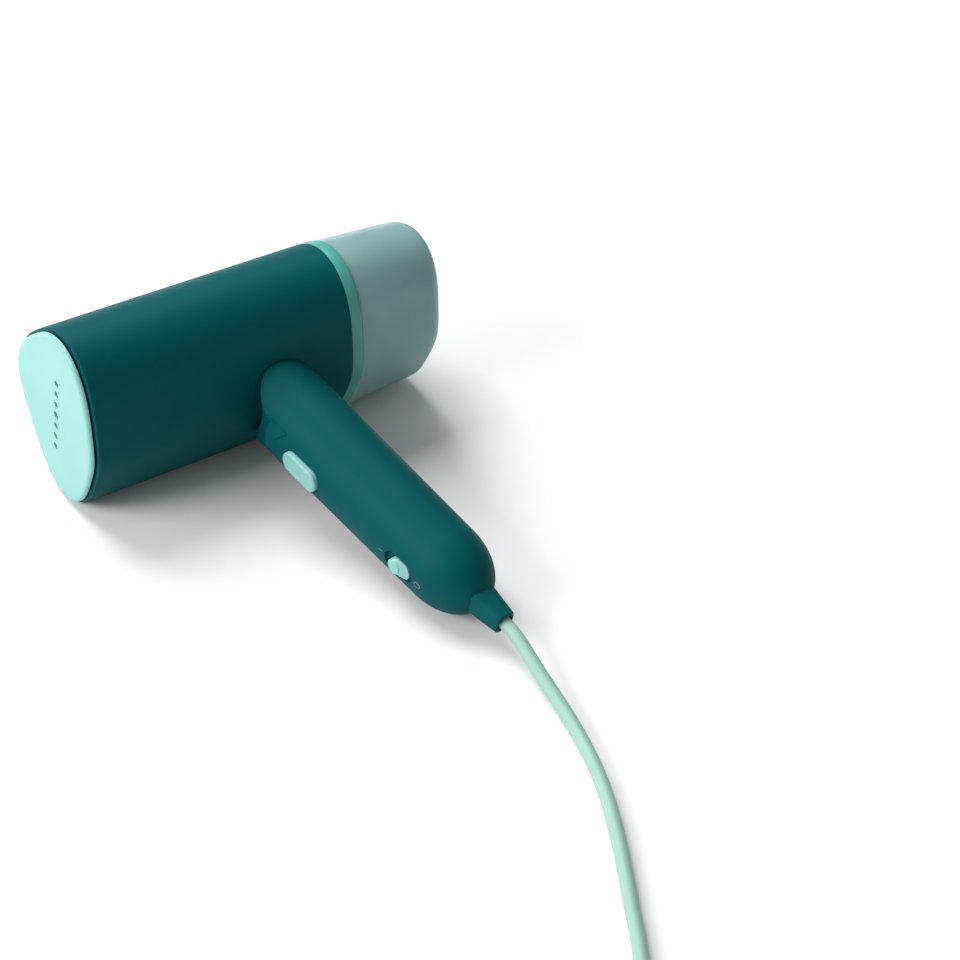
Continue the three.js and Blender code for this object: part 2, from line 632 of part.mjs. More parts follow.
const steamer = new THREE.Group();
steamer.rotation.x = 90 * DEG - ROLL;
steamer.add(
  handle,
  mesh('head_casing', makeCasing(), DARK_SHELL),
  mesh('steam_plate', makePlate(), MINT),
  mesh('front_bezel', makeBezel(), BLACK_PLASTIC),
  mesh('steam_chamber', makeChamber(), ALUMINIUM),
  mesh('chamber_gasket', makeChamberGasket(), SILICONE),
  mesh('heating_element', makeHeater(), STEEL),
  mesh('thermostat', makeThermostat(), BLACK_PLASTIC),
  mesh('thermal_fuse', rod([85.6, -20.5, -1], [85.6, -20.5, 9.5], 1.9, 10), WHITE_PLASTIC),
  mesh('heat_shield', makeHeatShield(), MICA),
  mesh('pump_housing', makePumpHousing(), WHITE_PLASTIC),
  mesh('pump_coil', makePumpCoil(), COPPER),
  mesh('pump_yoke', makePumpYoke(), STEEL),
  mesh('pump_plunger', rodX([36, 50], 0, PUMP_HEIGHT, 5.2, 16), STEEL),
  mesh('pump_spring', spring([53.8, 58.6], 0, PUMP_HEIGHT, 4, 0.4, 4), STEEL),
  mesh('supply_hose', hose([[17.3, 0, PUMP_HEIGHT], [23.7, 0, PUMP_HEIGHT]], 2.8, 1), SILICONE),
  mesh('steam_hose', hose([[66.3, 0, PUMP_HEIGHT], [82.7, 0, PUMP_HEIGHT]], 2.8, 1), SILICONE),
  mesh('head_tray', makeTray(), WHITE_PLASTIC),
  mesh('hinge_neck', makeNeck(), DARK_SHELL),
  mesh('tank_socket', makeSocket(), DARK_SHELL),
  mesh('inlet_nozzle', makeNozzle(), WHITE_PLASTIC),
  mesh('water_tank', makeTank(), SMOKED),
  mesh('tank_base', makeTankBase(), BAND_GREEN),
  mesh('fill_plug', makeFillPlug(), RUBBER),
  mesh('tank_valve', makeTankValve(), SILICONE),
  mesh('pickup_tube', hose(pickUpRoute, 2.1, 8), SILICONE),
  mesh('pickup_weight', makePickUpWeight(), BRASS),
);
screwPlaces.forEach((place, i) => {
  steamer.add(mesh(`chamber_screw_${i + 1}`, makeChamberScrew(place), STEEL));
});
neckScrewPlaces.forEach((place, i) => {
  steamer.add(mesh(`neck_screw_${i + 1}`, makeNeckScrew(place), STEEL));
});
['left', 'right'].forEach((name, i) => {
  steamer.add(mesh(`socket_screw_${name}`, makeSocketScrew(1 - 2 * i), STEEL));
});

// The origin is on the floor, under the middle of the lying steamer to the nearest millimetre.
const whole = new THREE.Group();
whole.add(steamer);
whole.updateMatrixWorld(true);
const extent = new THREE.Box3().setFromObject(whole, true);
steamer.position.set(-33.2, -56.9676, -extent.min.z);
whole.add(
  mesh('power_cord', makeCord(cordRoute, 26), MINT_CORD),
  mesh('cord_coil', geometryOf(solidOf(coilRing(0))), MINT_CORD),
  mesh('cord_tail', makeCord(tailRoute, 8), MINT_CORD),
  mesh('mains_plug', makePlug(), MINT),
  mesh('plug_pin_left', makePlugPin(1), BRASS),
  mesh('plug_pin_right', makePlugPin(-1), BRASS),
);

export default whole;
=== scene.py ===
"""A foldable handheld garment steamer, lying on its side with its handle open.

Lengths in this script are in millimetres, in one of these spaces:
  ROW      the frame's own axes, with the floor at Z = 0
  STEAMER  the head along +X from the tank's seam to the plate, with the handle towards -Z
  HANDLE   -Z down the handle from the head's axis, with its front at +X
  PLUG     +X along the mains plug, from its cord guard to its pins
  TIE      Z up the coil's axis, with the strap round its turns at +X
Each space is also the matrix that takes a finished mesh into the frame, in metres.
"""

import json
import math

import bmesh
import bpy
import numpy as np
from mathutils import Matrix, Vector


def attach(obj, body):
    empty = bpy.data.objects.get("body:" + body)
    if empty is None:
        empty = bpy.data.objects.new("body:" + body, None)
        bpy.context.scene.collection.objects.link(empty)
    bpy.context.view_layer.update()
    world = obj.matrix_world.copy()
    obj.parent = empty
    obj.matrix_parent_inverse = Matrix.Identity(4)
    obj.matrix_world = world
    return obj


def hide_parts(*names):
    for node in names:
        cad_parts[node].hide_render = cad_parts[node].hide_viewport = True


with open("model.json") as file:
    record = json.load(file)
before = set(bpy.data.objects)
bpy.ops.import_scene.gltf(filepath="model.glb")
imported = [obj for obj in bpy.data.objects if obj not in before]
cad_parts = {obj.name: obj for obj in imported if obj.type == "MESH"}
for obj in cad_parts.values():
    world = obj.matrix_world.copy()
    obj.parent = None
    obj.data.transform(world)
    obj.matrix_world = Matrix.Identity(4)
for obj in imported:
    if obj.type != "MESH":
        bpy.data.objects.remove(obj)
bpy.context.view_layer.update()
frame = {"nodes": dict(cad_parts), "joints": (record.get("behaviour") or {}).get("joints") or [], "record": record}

# ---------------------------------------------------------------- dimensions

# How it lies: the head's roll on the floor, and the handle's lean from square to the head.
ROLL = math.radians(10.55)
LEAN = math.radians(7.4)

# The head. OUTLINE is the radius of its section, as cosine terms of the angle from the handle.
OUTLINE = (33.4, -5.6, -4.0, -1.0, 1.7)
CASING_LENGTH, CASING_WALL = 107.2, 2.2
PLATE_BACK, PLATE_FRONT, PLATE_INSET = 108.1, 109.8, 1.3
HOLES_ASIDE, HOLE_PITCH, HOLE_HEIGHT = 3, 5.5, 4.1
MIDDLE_HOLE, SIDE_HOLE = 1.6, 1.3
PUMP_HEIGHT, FILL_HEIGHT = 8.0, -9.0
TANK_END, TANK_MOUTH, TANK_WALL = -43.4, -5.1, 2.0
TANK_TAPER = 2.7 / -TANK_END

# The handle, by distance down it from the head's axis. Its radii are front to back, and
# BREADTH times as much side to side.
HANDLE_X = 34.8
HANDLE_ROOT, DOME_START, HANDLE_END, RELIEF_TIP = 24.0, 119.5, 141.5, 152.6
ROOT_RADIUS, DOME_RADIUS, BREADTH, HANDLE_WALL = 16.4, 15.1, 1.08, 2.4
TRIGGER_AT, TRIGGER_SIZE, TRIGGER_FACE = 57.2, (19, 9), 17.14
SWITCH_AT, DISC_RISE, DISC_FACE = 112.8, 1.8, 16.72
DISC_AT = SWITCH_AT - DISC_RISE

# The fold hinge, with its place in STEAMER.
PIVOT = Vector((35.06, 0.0, -36.84))
ROOT_GAP = 0.4  # between the head and the handle's root
CORNER_DRAW = 0.034  # how fast the root's front corner draws in towards the hinge
DRUM_HALF, SLOT_HALF, SLOT_CLEARANCE = 8.25, 8.4, 0.15
PIN_BORE, SCREW_BORE = 2.8, 1.7
NECK_SCREWS = [(x, y) for x in (25.5, 50) for y in (-9.8, 9.8)]

CORD_RADIUS, HOSE_RADIUS = 2.5, 2.1

turn = Matrix.Rotation(math.radians(90) - ROLL, 4, "X")
hinge = next(j for j in frame["joints"] if j["name"] == "fold_hinge")
origin = Vector(hinge["pos_m"]) * 1000 - turn @ PIVOT
ROW = Matrix.Scale(0.001, 4)
STEAMER = ROW @ Matrix.Translation(origin) @ turn
IN_STEAMER = Matrix.Translation((HANDLE_X, 0, 0)) @ Matrix.Rotation(LEAN, 4, "Y")
HANDLE = STEAMER @ IN_STEAMER
HANDLE_PIVOT = IN_STEAMER.inverted() @ PIVOT  # the hinge in HANDLE

# ---------------------------------------------------------------- camera

# Solved from the photo: the view's axes in the frame, the eye in metres, the lens in pixels.
RIGHT = Vector((-0.81856, 0.57220, 0.05041))
DOWN = Vector((0.33056, 0.54102, -0.77332))
FORWARD = Vector((-0.46977, -0.61635, -0.63201))
EYE = Vector((0.31494, 0.50867, 0.51228))
PICTURE_PX, FOCAL_PX, SHIFT_PX = 960, 2088.92, -6.5
SENSOR_MM = 36.0

camera = bpy.data.objects.new("camera", bpy.data.cameras.new("camera"))
bpy.context.scene.collection.objects.link(camera)
view_axes = Matrix((RIGHT, -DOWN, -FORWARD)).transposed().to_4x4()
camera.matrix_world = Matrix.Translation(EYE) @ view_axes
camera.data.sensor_width = SENSOR_MM
camera.data.lens = FOCAL_PX / PICTURE_PX * SENSOR_MM
camera.data.shift_y = SHIFT_PX / PICTURE_PX
camera.data.clip_start = 0.05
bpy.context.scene.camera = camera

# ---------------------------------------------------------------- materials


def new_material(name):
    """A material, its nodes and links, its shader, and the places that its textures follow."""
    made = bpy.data.materials.new(name)
    made.use_nodes = True
    nodes, links = made.node_tree.nodes, made.node_tree.links
    coordinates = nodes.new("ShaderNodeTexCoord")
    return made, nodes, links, nodes["Principled BSDF"], coordinates.outputs["Object"]


def noise(nodes, links, places, size_mm, detail, stretch=None):
    """A noise whose features are about size_mm wide, drawn out along the axes of stretch."""
    if stretch:
        mapping = nodes.new("ShaderNodeMapping")
        mapping.inputs["Scale"].default_value = stretch
        links.new(places, mapping.inputs["Vector"])
        places = mapping.outputs["Vector"]
    made = nodes.new("ShaderNodeTexNoise")
    made.inputs["Scale"].default_value = 1000.0 / size_mm
    made.inputs["Detail"].default_value = detail
    links.new(places, made.inputs["Vector"])
    return made.outputs["Fac"]


def spread(nodes, links, value, low, high):
    """The middle of a noise's values, spread from low to high."""
    made = nodes.new("ShaderNodeMapRange")
    made.inputs["From Min"].default_value = 0.3
    made.inputs["From Max"].default_value = 0.7
    made.inputs["To Min"].default_value = low
    made.inputs["To Max"].default_value = high
    links.new(value, made.inputs["Value"])
    return made.outputs["Result"]


def tint(nodes, links, factor, first, second):
    """A colour between two, by factor."""
    made = nodes.new("ShaderNodeMix")
    made.data_type = "RGBA"
    made.inputs["A"].default_value = (*first, 1)
    made.inputs["B"].default_value = (*second, 1)
    links.new(factor, made.inputs["Factor"])
    return made.outputs["Result"]


def emboss(nodes, links, shader, height, depth_mm, strength=1.0):
    """Gives the shader a relief from a texture."""
    bump = nodes.new("ShaderNodeBump")
    bump.inputs["Strength"].default_value = strength
    bump.inputs["Distance"].default_value = depth_mm / 1000
    links.new(height, bump.inputs["Height"])
    links.new(bump.outputs["Normal"], shader.inputs["Normal"])


def moulded(name, color, rough, vary=0.05, grain=0.35, depth=0.012, specular=0.5, metallic=0.0,
            stretch=None, patch=22.0):
    """Moulded plastic, or with metallic and stretch a brushed or cast metal. The colour varies
    by vary over patches of patch mm, and the surface has a grain of grain mm, depth mm deep."""
    made, nodes, links, shader, places = new_material(name)
    cloud = noise(nodes, links, places, patch, 2.0)
    fine = noise(nodes, links, places, grain, 4.0, stretch)
    mottle = spread(nodes, links, cloud, 0.0, 1.0)
    low = tuple(c * (1 - vary) for c in color)
    high = tuple(min(1.0, c * (1 + vary)) for c in color)
    links.new(tint(nodes, links, mottle, low, high), shader.inputs["Base Color"])
    links.new(spread(nodes, links, fine, rough - 0.05, rough + 0.05), shader.inputs["Roughness"])
    emboss(nodes, links, shader, fine, depth, 0.6)
    shader.inputs["Metallic"].default_value = metallic
    shader.inputs["Specular IOR Level"].default_value = specular
    return made


def smoked(name, low, high):
    """The tank's frosted smoky plastic, in patches between two colours."""
    made, nodes, links, shader, places = new_material(name)
    cloud = noise(nodes, links, places, 26.0, 2.0)
    fine = noise(nodes, links, places, 1.2, 2.0)
    mottle = spread(nodes, links, cloud, 0.0, 1.0)
    links.new(tint(nodes, links, mottle, low, high), shader.inputs["Base Color"])
    links.new(spread(nodes, links, fine, 0.3, 0.36), shader.inputs["Roughness"])
    emboss(nodes, links, shader, fine, 0.008, 0.3)
    shader.inputs["Transmission Weight"].default_value = 0.5
    shader.inputs["IOR"].default_value = 1.35
    shader.inputs["Specular IOR Level"].default_value = 0.5
    return made


def board(name, mask, track):
    """A circuit board: solder mask over square-cornered tracks."""
    made, nodes, links, shader, places = new_material(name)
    tracks = nodes.new("ShaderNodeTexVoronoi")
    tracks.distance = "CHEBYCHEV"
    tracks.inputs["Scale"].default_value = 320.0
    links.new(places, tracks.inputs["Vector"])
    edge_of = nodes.new("ShaderNodeMapRange")
    edge_of.inputs["From Min"].default_value = 0.42
    edge_of.inputs["From Max"].default_value = 0.5
    links.new(tracks.outputs["Distance"], edge_of.inputs["Value"])
    links.new(tint(nodes, links, edge_of.outputs["Result"], mask, track),
              shader.inputs["Base Color"])
    emboss(nodes, links, shader, edge_of.outputs["Result"], 0.03)
    shader.inputs["Roughness"].default_value = 0.35
    return made


# Each finish's colour and roughness, and what it changes of moulded()'s other settings.
FINISHES = {
    "teal_shell": ((0.0005, 0.072, 0.075), 0.5, dict(vary=0.03, specular=0.05)),
    "teal_rubber": ((0.0008, 0.078, 0.076), 0.6, dict(grain=0.25, depth=0.02, specular=0.06)),
    "mint_plastic": ((0.205, 0.475, 0.435), 0.38, dict(vary=0.025, specular=0.35)),
    "mint_cord": ((0.27, 0.45, 0.40), 0.5, dict(vary=0.03, grain=0.6, depth=0.02, specular=0.3)),
    "band_plastic": ((0.055, 0.29, 0.245), 0.38, dict(vary=0.04, specular=0.35)),
    "black_plastic": ((0.012, 0.016, 0.017), 0.55, dict(grain=0.3, depth=0.02, specular=0.3)),
    "white_plastic": ((0.70, 0.72, 0.70), 0.5, dict(grain=0.4)),
    "silicone": ((0.62, 0.66, 0.62), 0.6, dict(vary=0.04, grain=0.5)),
    "rubber": ((0.022, 0.026, 0.027), 0.75, dict(grain=0.25, depth=0.03)),
    "cast_aluminium": ((0.55, 0.56, 0.57), 0.42,
                       dict(vary=0.12, grain=0.5, depth=0.05, metallic=0.9, patch=6.0)),
    "steel": ((0.52, 0.53, 0.55), 0.3,
              dict(vary=0.08, grain=0.6, depth=0.01, metallic=1.0, stretch=(1, 6, 6), patch=5.0)),
    "copper_wire": ((0.50, 0.18, 0.06), 0.34,
                    dict(vary=0.1, grain=0.7, depth=0.06, metallic=0.9, stretch=(4, 0.15, 0.15),
                         patch=6.0)),
    "brass": ((0.62, 0.45, 0.14), 0.28,
              dict(vary=0.08, grain=0.6, depth=0.01, metallic=1.0, stretch=(6, 6, 1), patch=5.0)),
    "mica": ((0.45, 0.38, 0.25), 0.6, dict(vary=0.22, grain=1.2, depth=0.03, patch=5.0)),
    "mark_grey": ((0.16, 0.19, 0.20), 0.5, dict()),
    "mark_green": ((0.17, 0.40, 0.34), 0.5, dict()),
}
MATERIALS = {name: moulded(name, color, rough, **more)
             for name, (color, rough, more) in FINISHES.items()}
MATERIALS["smoked_plastic"] = smoked("smoked_plastic", (0.28, 0.50, 0.48), (0.36, 0.58, 0.56))
MATERIALS["circuit_board"] = board("circuit_board", (0.012, 0.11, 0.035), (0.04, 0.22, 0.08))

# ---------------------------------------------------------------- mesh building

NEAR_AXIS = 0.3  # where a turned profile starts and ends, short of its axis


def raw(name, points, faces):
    """A mesh object from its points and faces, as they are."""
    mesh = bpy.data.meshes.new(name)
    mesh.from_pydata([tuple(p) for p in points], [], faces)
    mesh.validate()
    mesh.update()
    made = bpy.data.objects.new(name, mesh)
    bpy.context.scene.collection.objects.link(made)
    return made


def loft(name, rings, around=False):
    """A closed skin over rings of equal count. With around, the last ring joins the first,
    and otherwise both ends are flat."""
    count = len(rings[0])
    points = np.concatenate([np.asarray(ring, float) for ring in rings])
    faces = []
    for i in range(len(rings) if around else len(rings) - 1):
        low, high = i * count, (i + 1) % len(rings) * count
        for j in range(count):
            after = (j + 1) % count
            faces.append((low + j, low + after, high + after, high + j))
    if not around:
        faces.append(tuple(range(count))[::-1])
        faces.append(tuple(range(len(points) - count, len(points))))
    return raw(name, points, faces)


def apply_modifiers(piece):
    """Makes what the piece's modifiers show its own mesh."""
    graph = bpy.context.evaluated_depsgraph_get()
    mesh = bpy.data.meshes.new_from_object(piece.evaluated_get(graph))
    piece.modifiers.clear()
    piece.data = mesh
    return piece


def combine(piece, *tools, operation="DIFFERENCE"):
    """Cuts the tools out of the piece, or joins or intersects them with it."""
    for tool in tools:
        step = piece.modifiers.new("step", "BOOLEAN")
        step.operation = operation
        step.solver = "EXACT"
        step.object = tool
    apply_modifiers(piece)
    for tool in tools:
        bpy.data.objects.remove(tool)
    return piece


def bevel(piece, width, segments=2):
    """Rounds the piece's edges of more than 40 degrees."""
    step = piece.modifiers.new("bevel", "BEVEL")
    step.width = width
    step.segments = segments
    step.limit_method = "ANGLE"
    step.angle_limit = math.radians(40)
    step.harden_normals = False
    return apply_modifiers(piece)


def shade(mesh, sharp):
    """Smooth shading, with edges of more than sharp degrees left sharp."""
    mesh.shade_smooth()
    mesh.set_sharp_from_angle(angle=math.radians(sharp))


def triangulate_large_faces(mesh):
    """Cuts up the faces of more than four corners, which may be concave."""
    work = bmesh.new()
    work.from_mesh(mesh)
    bmesh.ops.triangulate(work, faces=[face for face in work.faces if len(face.verts) > 4])
    work.to_mesh(mesh)
    work.free()


def place(piece, space, material, body, *nodes, sharp=32.0, weighted=False, slot=None,
          inside=None):
    """Puts a finished piece into the frame, on its body, instead of its CAD nodes.
    weighted keeps its large faces looking flat beside rounded edges. inside is (material, test):
    the faces whose centre passes the test take that material."""
    if piece.type == "MESH":
        triangulate_large_faces(piece.data)
        for face in piece.data.polygons:
            face.material_index = int(bool(inside and inside[1](face.center)))
        piece.data.transform(space)
        shade(piece.data, sharp)
        if weighted:
            step = piece.modifiers.new("normals", "WEIGHTED_NORMAL")
            step.keep_sharp = True
            step.weight = 100
            apply_modifiers(piece)
    piece.data.materials.clear()
    piece.data.materials.append(MATERIALS[material])
    if inside:
        piece.data.materials.append(MATERIALS[inside[0]])
    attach(piece, body)
    if nodes:
        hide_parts(*nodes)
    return piece


def circle(centre, tilt, radius, sides, along=0.0):
    """Points round the axis that tilt turns +Z to, at a distance along it."""
    angles = np.linspace(0, 2 * math.pi, sides, endpoint=False)
    return [centre + tilt @ Vector((radius * math.cos(a), radius * math.sin(a), along))
            for a in angles]


def bar(start, end, radius, sides=48):
    """A round bar between two points."""
    start, end = Vector(start), Vector(end)
    tilt = (end - start).to_track_quat("Z", "Y").to_matrix()
    return loft("bar", [circle(at, tilt, radius, sides) for at in (start, end)])


def bar_x(x, y, z, radius):
    """A round bar along X, between the two values in x."""
    return bar((x[0], y, z), (x[1], y, z), radius)


def block(x, y, z):
    """A box between the two values given for each axis."""
    corners = [(a, b, c) for c in z for b in y for a in x]
    faces = [(0, 2, 3, 1), (4, 5, 7, 6), (0, 1, 5, 4), (2, 6, 7, 3), (0, 4, 6, 2), (1, 3, 7, 5)]
    return raw("block", corners, faces)


def turned(profile, start, way, sides=64):
    """A turned piece: (distance along, radius) pairs round an axis, with flat ends."""
    start, tilt = Vector(start), Vector(way).normalized().to_track_quat("Z", "Y").to_matrix()
    return loft("turned", [circle(start, tilt, r, sides, along) for along, r in profile])


def tube(name, route, radius):
    """A curve of one smooth open spline with a round section. All in metres."""
    data = bpy.data.curves.new(name, "CURVE")
    data.dimensions = "3D"
    data.bevel_depth = radius
    data.bevel_resolution = 8
    data.resolution_u = 6
    data.use_fill_caps = True
    line = data.splines.new("BEZIER")
    line.bezier_points.add(len(route) - 1)
    for point, at in zip(line.bezier_points, route):
        point.co = at
        point.handle_left_type = "AUTO"
        point.handle_right_type = "AUTO"
    made = bpy.data.objects.new(name, data)
    bpy.context.scene.collection.objects.link(made)
    return made


def smooth_step(t):
    """From 0 to 1 with level ends, as t goes from 0 to 1."""
    t = min(1.0, max(0.0, t))
    return t * t * (3 - 2 * t)


def soft_ring(x, height, breadth, power, count=72):
    """A ring across X, an oval at power 2 and closer to a rectangle above it."""
    angles = np.linspace(0, 2 * math.pi, count, endpoint=False)
    c, s = np.cos(angles), np.sin(angles)
    reach = (np.abs(c) ** power + np.abs(s) ** power) ** (-1 / power)
    return np.stack([np.full(count, x), breadth * reach * c, height * reach * s], axis=1)


# ---------------------------------------------------------------- the mains lead

# In ROW: from inside the strain relief to the coil, and from the coil to the plug.
CORD_ROUTE = [
    (-16.9, 83.1, 12.4), (-18, 91.8, 10.7), (-18.3, 98.6, 9.5), (-17.7, 106.6, 7.6),
    (-16.7, 116, 5.7), (-15.6, 126.6, 4.1), (-13.5, 139.3, 3), (-9.9, 153.3, 2.7),
    (-4.7, 167.7, 2.6), (1.7, 181.4, 2.6), (8.5, 194.2, 2.6), (16.3, 208, 2.6),
    (24.7, 223, 2.6), (35.3, 239.6, 2.6), (44.5, 253.9, 2.7), (53.8, 268.3, 2.9)]
TAIL_ROUTE = [
    (121.5, 286, 17.2), (130.5, 277, 15.8), (138, 266.5, 14.3), (143.2, 255, 13.3),
    (146.4, 243, 13)]
COIL_CENTRE, COIL_START = (92.6, 263.9), 147.3
COIL_OUTER, COIL_INNER, COIL_TURNS, COIL_LAYERS = 35.0, 22.9, 9.25, 4
COIL_FLOOR, COIL_STEP, CLIMB_SHARE = 3.15, 5.05, 0.09
POINTS_PER_TURN = 16

PIN_OFFSET, PIN_RADIUS, PIN_TIP = 9.5, 2.4, 70
PLUG_TURN = -75
TIE_ANGLE, TIE_WIDTH, TIE_THICKNESS, TIE_CORNER, TIE_EDGE = -35.0, 9.0, 0.55, 2.3, 0.12


def coil_route():
    """Flat spirals on top of each other, wound in and out by turns, clockwise from above."""
    route = []
    steps = round(COIL_TURNS * POINTS_PER_TURN)
    for i in range(steps + 1):
        done = i / steps * COIL_LAYERS
        layer = min(COIL_LAYERS - 1, int(done))
        part = done - layer
        part = 1 - part if layer % 2 else part
        radius = COIL_OUTER + (COIL_INNER - COIL_OUTER) * part
        climb = sum(smooth_step((done - change) / CLIMB_SHARE + 0.5)
                    for change in range(1, COIL_LAYERS))
        angle = math.radians(COIL_START - 360 * COIL_TURNS * i / steps)
        route.append((COIL_CENTRE[0] + radius * math.cos(angle),
                      COIL_CENTRE[1] + radius * math.sin(angle),
                      COIL_FLOOR + COIL_STEP * climb))
    return route


def make_plug():
    """A two-pin plug: a ribbed cord guard, a waisted grip and a flat face with two holes."""
    height, breadth = 12.9, 18.4
    stations = []  # each (x, half height, half breadth, squareness)
    for x in np.arange(0.3, 14.2, 0.35):  # the cord guard
        groove = 0.0
        if 1.2 < x < 12.8:
            groove = 0.55 * max(0.0, math.sin((x - 1.2) / 2.9 * 2 * math.pi))
        grown = 4.2 + 1.2 * (x - 0.3) / 13.7
        stations.append((x, grown - groove, grown - groove, 2.0))
    for t in np.linspace(0.06, 1, 16):  # the flare
        ease = smooth_step(t)
        stations.append((14.2 + 15.8 * t, 5.4 + 7.5 * ease, 5.4 + 13.0 * ease, 2.0 + 0.8 * ease))
    for x in np.linspace(31, 47, 14):  # the grip
        waist = 0.9 * math.sin(math.pi * (x - 30) / 18) ** 2
        stations.append((x, height - 0.2 * waist, breadth - waist, 2.8))
    for a in np.radians(np.linspace(0, 90, 6)):  # the rounded edge of the face
        inset = 1.4 * (1 - math.cos(a))
        stations.append((49.6 + 1.4 * math.sin(a), height - inset, breadth - inset, 2.8))
    body = loft("mains_plug_body", [soft_ring(*station) for station in stations])
    sockets = [turned([(42, 2.7), (50.6, 2.7), (51.4, 3.5), (52, 3.5)],
                      (0, side * PIN_OFFSET, 0), (1, 0, 0)) for side in (-1, 1)]
    return combine(body, *sockets)


def make_pin(name, side):
    """A plug pin with a groove near its root and a round tip."""
    tip = [(PIN_TIP - PIN_RADIUS * (1 - math.sin(a)), PIN_RADIUS * math.cos(a) + 0.02)
           for a in np.radians(np.linspace(0, 90, 9))]
    root = [(42.6, NEAR_AXIS), (42.6, PIN_RADIUS), (52, PIN_RADIUS),
            (52.2, 2.3), (52.5, 2.3), (52.7, PIN_RADIUS)]
    pin = turned(root + tip, (0, side * PIN_OFFSET, 0), (1, 0, 0))
    pin.name = name
    return pin


def make_tie():
    """A strap round the coil's turns, and its free end laid over the strap."""
    inner, outer = COIL_INNER - CORD_RADIUS, COIL_OUTER + CORD_RADIUS
    low = COIL_FLOOR - CORD_RADIUS
    high = COIL_FLOOR + (COIL_LAYERS - 1) * COIL_STEP + CORD_RADIUS
    rings = []
    for r, z, start in ((outer, low, -90), (outer, high, 0), (inner, high, 90), (inner, low, 180)):
        centre = np.array((r + (-TIE_CORNER if r == outer else TIE_CORNER),
                           z + (TIE_CORNER if z == low else -TIE_CORNER)))
        for step in range(7):
            a = math.radians(start + 15 * step)
            normal = np.array((math.cos(a), math.sin(a)))
            ring = []
            for side, offset in ((-0.5, 0), (-0.47, TIE_THICKNESS), (0.47, TIE_THICKNESS),
                                 (0.5, 0)):
                out, up = centre + normal * (TIE_CORNER + 0.06 + offset)
                ring.append((out, side * TIE_WIDTH, max(up, 0.03)))
            rings.append(ring)
    strap = loft("cord_tie", rings, around=True)
    rings = []
    half = 0.42 * TIE_WIDTH
    for t in np.linspace(0, 1, 12):
        r = outer - 4.5 - 10.5 * t
        z = high + 0.06 + TIE_THICKNESS + 0.9 * smooth_step((t - 0.55) / 0.45)
        rings.append([(r, -half, z), (r, half, z),
                      (r, half, z + TIE_THICKNESS), (r, -half, z + TIE_THICKNESS)])
    return strap, loft("cord_tie_end", rings)


lead_route = [tuple(0.001 * c for c in point) for point in CORD_ROUTE + coil_route() + TAIL_ROUTE]
lead = tube("mains_lead", lead_route, CORD_RADIUS / 1000)
place(lead, ROW, "mint_cord", "handle", "power_cord", "cord_coil", "cord_tail")

PLUG = (ROW @ Matrix.Translation(TAIL_ROUTE[-1])
        @ Matrix.Rotation(math.radians(PLUG_TURN), 4, "Z"))
plug = place(make_plug(), PLUG, "mint_plastic", "handle", "mains_plug", sharp=40)
pins = [place(make_pin(f"plug_pin_{label}_turned", side), PLUG, "brass", "handle",
              f"plug_pin_{label}", sharp=40) for side, label in ((1, "left"), (-1, "right"))]

TIE = (ROW @ Matrix.Translation((*COIL_CENTRE, 0))
       @ Matrix.Rotation(math.radians(TIE_ANGLE), 4, "Z"))
ties = [place(bevel(strip, TIE_EDGE), TIE, "rubber", "handle", sharp=50) for strip in make_tie()]

# ---------------------------------------------------------------- outlines

ROUND = np.linspace(0, 2 * math.pi, 208, endpoint=False)
EVEN = np.linspace(0, 2 * math.pi, 216, endpoint=False)


def outline(angles, inset):
    """Points (y, z) of the head's rounded-triangle section; angle 0 is at the handle."""
    angles = np.asarray(angles, float)
    radius = sum(term * np.cos(k * angles) for k, term in enumerate(OUTLINE))
    slope = sum(-k * term * np.sin(k * angles) for k, term in enumerate(OUTLINE))
    along_y = slope * np.sin(angles) + radius * np.cos(angles)
    along_z = -slope * np.cos(angles) + radius * np.sin(angles)
    size = np.hypot(along_y, along_z)
    return (radius * np.sin(angles) - inset * along_z / size,
            -radius * np.cos(angles) + inset * along_y / size)


# The line just under the head that the handle's root and the hinge's drum follow.
UNDERSIDE = outline(np.radians(np.linspace(-70, 70, 281)), -ROOT_GAP)


def grip_depth(down):
    """The grip's radius, front to back."""
    run = np.clip((down - HANDLE_ROOT) / (DOME_START - HANDLE_ROOT), 0, 1)
    return ROOT_RADIUS + (DOME_RADIUS - ROOT_RADIUS) * run


def grip_ring(down, depth, breadth):
    """An oval round the handle's axis, at one distance down it or at one for each point."""
    return np.stack([depth * np.cos(ROUND), breadth * np.sin(ROUND), -down * np.ones(len(ROUND))],
                    axis=1)


def rim_at(front, side):
    """How far down the handle its root begins, for a place in front of its axis and to the side:
    just under the head, and ahead of the hinge round the hinge, closer to it the further ahead."""
    under = np.interp(side, *UNDERSIDE)
    flat = (-under - front * math.sin(LEAN)) / math.cos(LEAN)
    ahead = np.maximum(front - HANDLE_PIVOT.x, 0)
    reach = under - PIVOT.z - CORNER_DRAW * ahead ** 2
    corner = -HANDLE_PIVOT.z - np.sqrt(np.maximum(reach ** 2 - ahead ** 2, 0.02))
    return np.where(front > HANDLE_PIVOT.x, np.maximum(flat, corner), flat)


def root_rings(inset):
    """Rings over the root's end, from its middle to its rim."""
    depth, breadth = ROOT_RADIUS - inset, ROOT_RADIUS * BREADTH - inset
    rings = []
    for share in list(np.linspace(0.02, 0.97, 14)) + [1.0]:
        down = rim_at(share * depth * np.cos(ROUND), share * breadth * np.sin(ROUND))
        rings.append(grip_ring(down, share * depth, share * breadth))
    return rings


def hinge_drum(centre, half, clearance):
    """A drum round the hinge that comes up to the head's underside all along its length."""
    sides = np.linspace(-half, half, 15)
    reach = np.interp(sides, *UNDERSIDE) - PIVOT.z + clearance
    profile = [(-half, NEAR_AXIS), *zip(sides, reach), (half, NEAR_AXIS)]
    return turned(profile, centre, (0, 1, 0), 180)


# ---------------------------------------------------------------- the head


